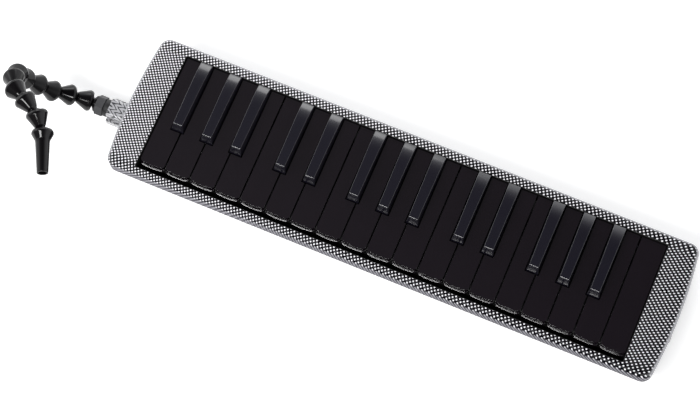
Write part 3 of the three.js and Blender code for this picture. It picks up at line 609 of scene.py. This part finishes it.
def top_cover():
    rings = [case_ring(LIP, SPLIT_Z), case_ring(0, SPLIT_Z + LIP)]
    rings += [case_ring(inset, RIM_Z - drop) for inset, drop in quarter(TOP_FILLET, FILLET_STEPS)]
    outside = len(rings)
    rings += [opening_ring(grow, RIM_Z - drop) for drop, grow in quarter(LIP, 3)]
    rings.append(opening_ring(0, SKIRT_BOTTOM))
    rings.append(opening_ring(SKIRT, SKIRT_BOTTOM))
    rings.append(opening_ring(SKIRT, RIM_Z - WALL))
    rings.append(case_ring(WALL, RIM_Z - WALL))
    rings.append(case_ring(WALL, SPLIT_Z))
    bm, bands = looped(rings, close=True)
    for number, band in enumerate(bands):
        for face in band:
            face.material_index = 0 if number < outside else 1
    piece("case_top_cover", bm, [WOVEN, INSIDE], "case", ["top_cover"])


def spout_half(name, half_width, wall_z, outer_z, corner, material):
    """Half of the spout: an arch outside, with half of the bore along its flat side."""
    way = 1 if outer_z > wall_z else -1
    bore = 5.5 * MM
    height = abs(outer_z - wall_z)
    outside = [(half_width, 0, 0), (half_width, height, corner)]
    outside += [(-half_width, height, corner), (-half_width, 0, 0)]
    inside = [(-bore * math.cos(math.pi * k / 16), bore * math.sin(math.pi * k / 16)) for k in range(17)]
    profile = [(SPOUT_Y + u, wall_z + way * v) for u, v in eased(outside) + inside]
    bm = bmesh.new()
    prism(bm, profile, SPOUT_END_X, -HALF_LENGTH + 0.5 * WALL)
    piece(name, bm, [material], "case", bevel=("ANGLE", 0.5 * MM, 3))


BASE_INSET = 1.6 * MM
BASE_FILLET = 6 * MM
BASE_SLOPE = 0.2
BASE_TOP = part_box("bottom_cover")[1].z
SCREW_SPOTS = [(x, y) for x in (-202, 202) for y in (-40, 40)]
SCREW_SPOTS += [(x, y) for x in (-150, -50, 50, 150) for y in (-34, 32)]
SEAT_RADIUS = 3.0 * MM
SEAT_DEPTH = 1.2 * MM
SEAT_LIP = 0.3 * MM
BUTTON_HOLE_RADIUS = 3.8 * MM


def base_ring(inset, z):
    """A ring of the bottom cover, whose front and back walls draw in towards the base."""
    drawn = BASE_SLOPE * (BASE_TOP - max(z, BASE_FILLET))
    low = (-HALF_LENGTH + inset, -HALF_DEPTH + inset + drawn)
    high = (HALF_LENGTH - inset, HALF_DEPTH - inset - drawn)
    return plan_ring(low, high, CORNER - inset + BASE_INSET, z, END_BOW)


def bottom_cover():
    rings = [base_ring(BASE_INSET + LIP, BASE_TOP), base_ring(BASE_INSET, BASE_TOP - LIP)]
    rings += [base_ring(BASE_INSET + inset, rise) for inset, rise in quarter(BASE_FILLET, FILLET_STEPS)]
    inner = [
        base_ring(BASE_INSET + WALL + BASE_FILLET / 2, WALL),
        base_ring(BASE_INSET + WALL, WALL + BASE_FILLET / 2),
        base_ring(BASE_INSET + WALL, BASE_TOP),
    ]
    bm, _ = looped(rings[::-1] + inner[::-1], close=False)
    obj = piece("case_bottom_cover", bm, [LINING], "case", ["bottom_cover"])
    seat = [
        (0, -MM),
        (SEAT_RADIUS + SEAT_LIP, -MM),
        (SEAT_RADIUS + SEAT_LIP, 0),
        (SEAT_RADIUS, SEAT_LIP),
        (SEAT_RADIUS, SEAT_DEPTH),
        (0, SEAT_DEPTH),
    ]
    seats = [lathed(seat, Matrix.Translation((x * MM, y * MM, 0)), 32) for x, y in SCREW_SPOTS]
    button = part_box("water_valve_button")
    centre = (button[0] + button[1]) / 2
    depth = 9 * MM
    start = Vector((HALF_LENGTH - 6 * MM, centre.y, centre.z))
    hole = [(0, 0), (BUTTON_HOLE_RADIUS, 0), (BUTTON_HOLE_RADIUS, depth), (0, depth)]
    cut(obj, *seats, lathed(hole, along(start, Vector((1, 0, 0))), 40))


def case_screw(number, x, y):
    """A domed screw head with a cross slot, turned a little further than the screw before it."""
    head = eased([(0, 1.1, 0), (2.6, 1.1, 0.2), (2.6, 0.75, 0.3), (1.2, 0.2, 1.5), (0, 0.15, 0)])
    place = Matrix.Translation((x * MM, y * MM, 0))
    bm = lathed(metres(head), place, 32)
    obj = piece(f"case_screw_{number:02d}", bm, [SCREW], "case")
    slots = []
    for turn in (20 + 31 * number, 110 + 31 * number):
        slot = bmesh.new()
        block(slot, Vector((-1.35, -0.32, -1)) * MM, Vector((1.35, 0.32, 0.75)) * MM)
        slot.transform(place @ Matrix.Rotation(math.radians(turn), 4, "Z"))
        slots.append(slot)
    cut(obj, *slots)


top_cover()
spout_half("case_spout_top", 7.2 * MM, SPLIT_Z, SPLIT_Z + 7.5 * MM, 3 * MM, CRUMPLED)
bottom_cover()
spout_half("case_spout_bottom", 9.6 * MM, BASE_TOP, SPLIT_Z - 10 * MM, 4 * MM, CRUMPLED)
for number, (x, y) in enumerate(SCREW_SPOTS, 1):
    case_screw(number, x, y)

# ---------------------------------------------------------------- keys

PLATE = 3 * MM
LIP_HEIGHT = 5.8 * MM
LIP_THICKNESS = 1.8 * MM
ROD_Y = JOINTS["key_F3_press"]["pos_m"][1]
ROD_Z = JOINTS["key_F3_press"]["pos_m"][2]
NATURAL_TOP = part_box("key_F3")[1].z
PALLET_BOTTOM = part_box("key_F3")[0].z
PALLET_TOP = 21.7 * MM
PALLET_HALF_WIDTH = 4.2 * MM
PALLET_Y = (-4 * MM, 8 * MM)
RIB_BOTTOM = 31.5 * MM
RIB_HALF_WIDTH = 2 * MM
STEM_BOTTOM = 21.5 * MM
STEM_Y = (0.5 * MM, 3.5 * MM)
HOOK_RADIUS = 4.2 * MM
HOOK_BORE = 1.95 * MM
HOOK_HALF_MOUTH = 1.4 * MM


def lever(bm, x, rib_front):
    """Rib, rod hook, valve stem and pallet under a key."""
    top = NATURAL_TOP - PLATE + 0.2 * MM
    centre = (ROD_Y, ROD_Z)
    meets = 180 - math.degrees(math.asin((RIB_BOTTOM - ROD_Z) / HOOK_RADIUS))
    outer = math.degrees(math.asin(HOOK_HALF_MOUTH / HOOK_RADIUS))
    inner = math.degrees(math.asin(HOOK_HALF_MOUTH / HOOK_BORE))
    profile = [(rib_front, RIB_BOTTOM), (STEM_Y[0], RIB_BOTTOM), (STEM_Y[0], STEM_BOTTOM)]
    profile += [(STEM_Y[1], STEM_BOTTOM), (STEM_Y[1], RIB_BOTTOM)]
    profile += arc(centre, HOOK_RADIUS, meets, 270 - outer, 8)
    profile += arc(centre, HOOK_BORE, 270 - inner, inner - 90, 14)
    profile += arc(centre, HOOK_RADIUS, outer - 90, 0, 8)
    profile += [(ROD_Y + HOOK_RADIUS, top), (rib_front, top)]
    prism(bm, profile, x - RIB_HALF_WIDTH, x + RIB_HALF_WIDTH)
    low = (x - PALLET_HALF_WIDTH, PALLET_Y[0], PALLET_BOTTOM)
    block(bm, low, (x + PALLET_HALF_WIDTH, PALLET_Y[1], PALLET_TOP))


FRONT_CORNER = 2.0 * MM
FRONT_BOW = 0.9 * MM
# A small ledge runs along the front of each natural, below its top.
LEDGE_PAST_FRONT = 1.2 * MM
STEP_OUT = 1.6 * MM
STEP_ROUNDING = 0.9 * MM
STEP_DOWN = 4.4 * MM
SIDE_PLAY = 0.1 * MM


def front_curve(left, right, front):
    """The front edge of a natural in plan: slightly bowed, with round corners, from left to right."""
    reach = (right - left) / 2
    turns = [math.radians(90 * k / 5) for k in range(6)]
    corner = [FRONT_CORNER * (1 - math.cos(t)) for t in turns]
    spans = corner + [reach * k / 5 for k in range(2, 6)]
    spans += [2 * reach - d for d in spans[-2::-1]]
    points = []
    for d in spans:
        side = min(d, 2 * reach - d)
        y = front + FRONT_BOW * (1 - side / reach) ** 2
        if side < FRONT_CORNER:
            y += FRONT_CORNER - math.sqrt(max(FRONT_CORNER ** 2 - (FRONT_CORNER - side) ** 2, 0))
        points.append((left + d, y))
    return points


def natural_key(node):
    """A natural, with a bowed front over a ledge and its back cut in beside the sharps."""
    low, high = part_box(node)
    top_points = [v.co for v in NODES[node].data.vertices if abs(v.co.z - high.z) < TINY]
    front, back, left, right = low.y, high.y, low.x + SIDE_PLAY, high.x - SIDE_PLAY
    back_left = max(min(p.x for p in top_points if abs(p.y - back) < TINY), left)
    back_right = min(max(p.x for p in top_points if abs(p.y - back) < TINY), right)
    notches = [p.y for p in top_points if front + MM < p.y < back - MM]
    lip_y = front + LIP_THICKNESS + FRONT_CORNER
    rest = [(right, lip_y)]
    if back_right < right - TINY:
        rest += [(right, notches[0]), (back_right, notches[0])]
    rest += [(back_right, back), (back_left, back)]
    if back_left > left + TINY:
        rest += [(back_left, notches[0]), (left, notches[0])]
    rest.append((left, lip_y))
    z0, z1, z2 = high.z, high.z - PLATE, high.z - LIP_HEIGHT
    curve = front_curve(left, right, front - LEDGE_PAST_FRONT)
    bm = bmesh.new()
    weight = bm.edges.layers.float.new("bevel_weight_edge")
    step_z = z0 - STEP_DOWN
    levels = [(STEP_OUT, z0), (STEP_OUT, step_z)]
    for turn in (0, 25, 45, 65, 90):
        out, upward = math.sin(math.radians(turn)), math.cos(math.radians(turn))
        levels.append((STEP_ROUNDING * (1 - out), step_z - STEP_ROUNDING * (1 - upward)))
    levels.append((0.2 * MM, z2))
    fronts = [[bm.verts.new((x, y + back_by, z)) for x, y in curve] for back_by, z in levels]
    for a, b in zip(fronts, fronts[1:]):
        for i in range(len(curve) - 1):
            bm.faces.new((a[i], b[i], b[i + 1], a[i + 1]))
    top = [bm.verts.new((x, y, z0)) for x, y in rest]
    under = [bm.verts.new((x, y, z1)) for x, y in rest]
    foot = [bm.verts.new((x, lip_y, z2)) for x in (right, left)]
    bm.faces.new(fronts[0] + top)
    bm.faces.new(under)
    bm.faces.new(fronts[-1] + foot)
    bm.faces.new((under[0], under[-1], foot[1], foot[0]))
    for i in range(len(rest) - 1):
        bm.faces.new((top[i], under[i], under[i + 1], top[i + 1]))
    for end, side, at in ((-1, 0, 0), (0, 1, -1)):
        bm.faces.new([row[end] for row in fronts] + [foot[side], under[at], top[at]])
    edge_top = set(fronts[0])
    for edge in bm.edges:
        a, b = edge.verts
        if a in edge_top and b in edge_top:
            edge[weight] = 1.0
        elif abs(a.co.z - z0) < TINY and abs(b.co.z - z0) < TINY:
            edge[weight] = 0.32
    lever(bm, (back_left + back_right) / 2, front + 3.5 * MM)
    piece(f"played_{node}", bm, [NATURAL], node, [node], bevel=("WEIGHT", 1.2 * MM, 5))


SHARP_HALF_FRONT = 3.45 * MM
SHARP_HALF_BACK = 4.3 * MM
SHARP_BOTTOM = 34.5 * MM
# Towards the back the crest falls away in a curve: how far before the back it starts, and how much it drops.
SHARP_FALL = 28 * MM
SHARP_DROP = 3.4 * MM


def sharp_key(node):
    """A sharp, with a sloped front, a tapering crest and a back that falls away."""
    low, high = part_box(node)
    middle = (low.x + high.x) / 2
    half = (high.x - low.x) / 2
    front, back, top = low.y, high.y, high.z
    stations = [(front + 2.4 * MM, top - 0.4 * MM), (front + 3.3 * MM, top)]
    steps = 20
    for k in range(3, steps + 1):
        t = k / steps
        stations.append((back - 0.6 * MM - SHARP_FALL * (1 - t), top - SHARP_DROP * t ** 4))
    stations.append((back - 0.15 * MM, top - SHARP_DROP - 0.4 * MM))
    stations.append((back, top - SHARP_DROP - 1.1 * MM))

    def half_at(y, z):
        """The sharps taper: their tops are narrower at the front."""
        crest_half = SHARP_HALF_FRONT + (SHARP_HALF_BACK - SHARP_HALF_FRONT) * (y - front) / (back - front)
        return half + (crest_half - half) * (z - NATURAL_TOP) / (top - NATURAL_TOP)

    bm = bmesh.new()
    weight = bm.edges.layers.float.new("bevel_weight_edge")

    def pair(y, z, reach):
        return bm.verts.new((middle - reach, y, z)), bm.verts.new((middle + reach, y, z))

    floor_front, floor_back = pair(front, SHARP_BOTTOM, half), pair(back, SHARP_BOTTOM, half)
    foot_front, foot_back = pair(front, NATURAL_TOP, half), pair(back, NATURAL_TOP, half)
    crest = [pair(y, z, half_at(y, z)) for y, z in stations]
    spans = [floor_front, foot_front, *crest, foot_back, floor_back, floor_front]
    for a, b in zip(spans, spans[1:]):
        bm.faces.new((a[0], a[1], b[1], b[0]))
    for side in (0, 1):
        bm.faces.new((floor_front[side], foot_front[side], foot_back[side], floor_back[side]))
        bm.faces.new([foot_front[side], *[c[side] for c in crest], foot_back[side]])
    upper = {v for c in crest for v in c}
    for edge in bm.edges:
        a, b = edge.verts
        if a in upper and b in upper and (a.co.x - middle) * (b.co.x - middle) > 0:
            edge[weight] = 0.35
        elif (a in foot_front) != (b in foot_front) and (a in upper or b in upper):
            edge[weight] = 0.7
        elif a in crest[0] and b in crest[0]:
            edge[weight] = 0.6
        elif a in crest[-1] and b in crest[-1]:
            edge[weight] = 0.4
    lever(bm, middle, front + 4 * MM)
    piece(f"played_{node}", bm, [SHARP], node, [node], bevel=("WEIGHT", 1.0 * MM, 4))


for node in sorted(NODES):
    if node.startswith("key_") and node != "key_rod":
        make_key = sharp_key if "sharp" in node else natural_key
        make_key(node)

# ---------------------------------------------------------------- mouth tube

# Profiles are in mm, as (radius, height, corner radius), with the socket's centre at height 0.
BELL = [(6.25, -2.75, 0.25), (7.1, -2.75, 0.5), (8.0, -1.2, 1.2), (8.0, 0.2, 0.9)]
BALL_RADIUS = 5.3
SOCKET_RADIUS = 5.8
NECK_RADIUS = 3.5
NECK_TO_BALL = 3.98
AIRWAY = 2.3
AIRWAY_LIP = 0.3
TUBE_PITCH = 14.2
# Degrees above the ball's middle at which its front is cut off.
BALL_TIP = 48


def ball(centre):
    """The ball from its neck to its cut front, and the lip of the airway there."""
    start = math.degrees(math.asin(NECK_RADIUS / BALL_RADIUS)) - 90
    tip = centre + BALL_RADIUS * math.sin(math.radians(BALL_TIP))
    lip = [(AIRWAY + AIRWAY_LIP, tip), (AIRWAY, tip - AIRWAY_LIP)]
    return arc((0, centre), BALL_RADIUS, start, BALL_TIP, 14) + lip


def socket():
    """The inside of the socket, from the airway to its rim."""
    start = math.degrees(math.acos(AIRWAY / SOCKET_RADIUS))
    return arc((0, 0), SOCKET_RADIUS, start, -18, 12)


def tube_axis(node, joint):
    """A frame at the piece's socket that looks along the piece."""
    origin = Vector(JOINTS[joint]["pos_m"])
    spots = [v.co for v in NODES[node].data.vertices]
    far = max((spot - origin).length for spot in spots)
    tips = [spot for spot in spots if (spot - origin).length > far - 0.05 * MM]
    centre = sum(tips, Vector()) / len(tips)
    return along(origin, (centre - origin).normalized())


def tube_segment(node, joint):
    cone = [(4.45, 7.9, 1.6), (NECK_RADIUS, 9.2, 0.8), (NECK_RADIUS, TUBE_PITCH - NECK_TO_BALL, 0)]
    profile = eased([*BELL, *cone])[:-1] + ball(TUBE_PITCH) + socket()
    bm = lathed(metres(profile), tube_axis(node, joint))
    piece(f"glossy_{node}", bm, [TUBE], node, [node])


def mouth_nozzle():
    outside = [(5.55, 4.7, 1.2), (5.25, 6.6, 1.0), (4.2, 28.9, 0), (4.2, 29.55, 0.45)]
    inside = [(3.35, 29.55, 0.35), (3.1, 28.6, 0), (3.1, 8, 0)]
    profile = eased([*BELL, *outside, *inside]) + socket()
    bm = lathed(metres(profile), tube_axis("mouth_nozzle", "nozzle_bend"), 64)
    piece("glossy_mouth_nozzle", bm, [TUBE], "mouth_nozzle", ["mouth_nozzle"])


PLUG_FRAME = along(Vector((SPOUT_END_X, SPOUT_Y, SPOUT_Z)), Vector((-1, 0, 0)))
COLLAR_SPAN = (0.3, 4.0)
NUT_SPAN = (4.3, 10.6)
NUT_CORNER_RADIUS = 7.9
NUT_CHAMFER = math.radians(14)
PLUG_BORE = 4.3


def plug_collar():
    start, end = COLLAR_SPAN
    outer = eased([(PLUG_BORE, start, 0), (6.7, start, 0.35), (6.7, end, 0.35), (PLUG_BORE, end, 0)])
    bm = lathed(metres(outer), PLUG_FRAME, 64)
    piece("plug_collar_ring", bm, [COLLAR], "tube_plug", ["plug_collar"])


def hex_nut():
    """A hexagon whose corners are turned off in a cone at both ends, more at the outer end."""
    across = NUT_CORNER_RADIUS * math.cos(math.pi / 6)
    per_side = 10
    start, end = NUT_SPAN
    sixth = math.pi / 3
    turns = [sixth * k / per_side for k in range(6 * per_side)]
    edge = [across / math.cos((turn % sixth) - sixth / 2) for turn in turns]

    def ring(radii, heights):
        points = zip(turns, radii, heights)
        return [PLUG_FRAME @ (Vector((r * math.cos(t), r * math.sin(t), h)) * MM) for t, r, h in points]

    def round_ring(radius, height):
        return ring([radius] * len(turns), [height] * len(turns))

    flat = across - 0.15
    slope = math.tan(NUT_CHAMFER)
    rings = [
        round_ring(PLUG_BORE, start),
        round_ring(flat, start),
        ring(edge, [start + (radius - flat) * slope * 0.4 for radius in edge]),
        ring(edge, [end - (radius - flat) * slope for radius in edge]),
        round_ring(flat, end),
        round_ring(PLUG_BORE + 0.4, end),
        round_ring(PLUG_BORE, end - 0.4),
    ]
    bm, _ = looped(rings, close=True)
    piece("plug_hex_nut", bm, [NUT], "tube_plug", ["hex_nut"])


def ball_adaptor():
    """A pipe through the plug, two shoulders beyond the nut, and the ball of the first joint."""
    end = NUT_SPAN[1] + 0.3
    centre = (SPOUT_END_X - JOINTS["tube_bend_01"]["pos_m"][0]) / MM
    pipe = [(AIRWAY, -15, 0), (3.6, -15, 0.3), (4.0, -13.6, 0.4), (4.0, end, 0)]
    wide = [(6.3, end, 0.3), (6.3, end + 1.3, 0.4)]
    narrow = [(4.9, end + 1.5, 0.2), (4.8, end + 2.3, 0.4)]
    neck = [(NECK_RADIUS, end + 2.7, 0.4), (NECK_RADIUS, centre - NECK_TO_BALL, 0)]
    profile = eased([*pipe, *wide, *narrow, *neck])[:-1] + ball(centre)
    bm = lathed(metres(profile), PLUG_FRAME)
    piece("glossy_ball_adaptor", bm, [TUBE], "tube_plug", ["ball_adaptor"])


plug_collar()
hex_nut()
ball_adaptor()
for number in range(1, 11):
    tube_segment(f"tube_segment_{number:02d}", f"tube_bend_{number:02d}")
mouth_nozzle()

# ---------------------------------------------------------------- water valve


def valve_button():
    """The seal, the stem and the dished head of the button."""
    low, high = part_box("water_valve_button")
    place = along(Vector((low.x, (low.y + high.y) / 2, (low.z + high.z) / 2)), Vector((1, 0, 0)))
    length = (high.x - low.x) / MM
    head = length - 5.4
    seal = [(0, 0, 0), (2.8, 0, 0.3), (2.8, 1.4, 0.3)]
    stem = [(1.0, 1.4, 0.1), (1.0, head, 0.1)]
    rim = [(3.4, head, 0.2), (3.4, length, 0.9), (2.3, length, 0.4)]
    dish = [(1.9, length - 0.25, 0.4), (0, length - 0.35, 0)]
    bm = lathed(metres(eased([*seal, *stem, *rim, *dish])), place, 40)
    piece("water_valve_push_button", bm, [LINING], "water_valve", ["water_valve_button"])


valve_button()

# ---------------------------------------------------------------- carried-over nodes

FINISH = {
    "inlet_pipe": LINING,
    "wind_tray": BLOCK,
    "tray_gasket": RUBBER,
    "reed_plate_low": BRASS,
    "reed_plate_high": BRASS,
    "reed_block": BLOCK,
    "water_valve_spring": STEEL,
    "valve_plate": LINING,
    "key_rod": BLUED,
    "spring_comb": BLUED,
    "stop_felt": FELT,
}
for node, material in FINISH.items():
    slots = NODES[node].data.materials
    slots.clear()
    slots.append(material)

# ---------------------------------------------------------------- floor and light

FLOOR_GLOW = 0.48
HORIZON_BACK = 1.2
HORIZON_FRONT = 0.22
OVERHEAD_LEFT = 0.12
OVERHEAD_RIGHT = 0.045


def floor():
    bm = bmesh.new()
    half = 2.6
    steps = 8
    marks = [-half + 2 * half * k / steps for k in range(steps + 1)]
    rows = [[bm.verts.new((x, y, 0)) for x in marks] for y in marks]
    for near, far in zip(rows, rows[1:]):
        for i in range(steps):
            bm.faces.new((near[i], near[i + 1], far[i + 1], far[i]))
    mesh = bpy.data.meshes.new("floor")
    bm.to_mesh(mesh)
    bm.free()
    obj = bpy.data.objects.new("floor", mesh)
    bpy.context.scene.collection.objects.link(obj)
    shader = Shader("floor_pale", (0.93, 0.93, 0.93), 0.7)
    shader.set("Base Color", shader.mix(shader.noise(3, 2), (0.92, 0.92, 0.92), (0.94, 0.94, 0.94)))
    shader.set("Emission Color", (1, 1, 1, 1))
    shader.set("Emission Strength", FLOOR_GLOW)
    mesh.materials.append(shader.material)


def softbox(name, place, aim, size, power):
    light = bpy.data.lights.new(name, "AREA")
    light.shape = "RECTANGLE"
    light.size, light.size_y = size
    light.energy = power
    obj = bpy.data.objects.new(name, light)
    bpy.context.scene.collection.objects.link(obj)
    obj.location = place
    obj.rotation_mode = "QUATERNION"
    obj.rotation_quaternion = (Vector(aim) - Vector(place)).to_track_quat("-Z", "Y")


def surroundings():
    """A pale studio: bright near the floor at the back and sides, dim in front and dark overhead."""
    world = bpy.data.worlds.new("studio")
    bpy.context.scene.world = world
    world.use_nodes = True
    tree = world.node_tree
    background = tree.nodes["Background"]
    place = tree.nodes.new("ShaderNodeTexCoord")
    split = tree.nodes.new("ShaderNodeSeparateXYZ")
    tree.links.new(place.outputs["Generated"], split.inputs[0])

    def ramp(socket, start, end, low, high):
        node = tree.nodes.new("ShaderNodeMapRange")
        node.interpolation_type = "SMOOTHSTEP"
        tree.links.new(socket, node.inputs["Value"])
        for name, value in (("From Min", start), ("From Max", end), ("To Min", low), ("To Max", high)):
            node.inputs[name].default_value = value
        return node.outputs[0]

    around = ramp(split.outputs[1], -0.75, -0.05, HORIZON_FRONT, HORIZON_BACK)
    overhead = ramp(split.outputs[0], -0.40, 0.12, OVERHEAD_LEFT, OVERHEAD_RIGHT)
    mixer = tree.nodes.new("ShaderNodeMix")
    tree.links.new(ramp(split.outputs[2], 0.40, 0.93, 0, 1), mixer.inputs["Factor"])
    tree.links.new(around, mixer.inputs["A"])
    tree.links.new(overhead, mixer.inputs["B"])
    tree.links.new(mixer.outputs[0], background.inputs["Strength"])
    background.inputs["Color"].default_value = (0.97, 0.98, 1.0, 1)


floor()
surroundings()
softbox("back_left", (-0.6, 1.25, 0.80), (-0.1, 0, 0.02), (0.9, 0.6), 3.4)
softbox("front", (-0.25, -0.86, 1.39), (0, 0, 0.02), (1.2, 0.3), 20)
softbox("left", (-1.5, 0.3, 0.6), (0, 0, 0.02), (0.75, 0.75), 1.6)
bpy.context.scene.view_settings.view_transform = "Standard"
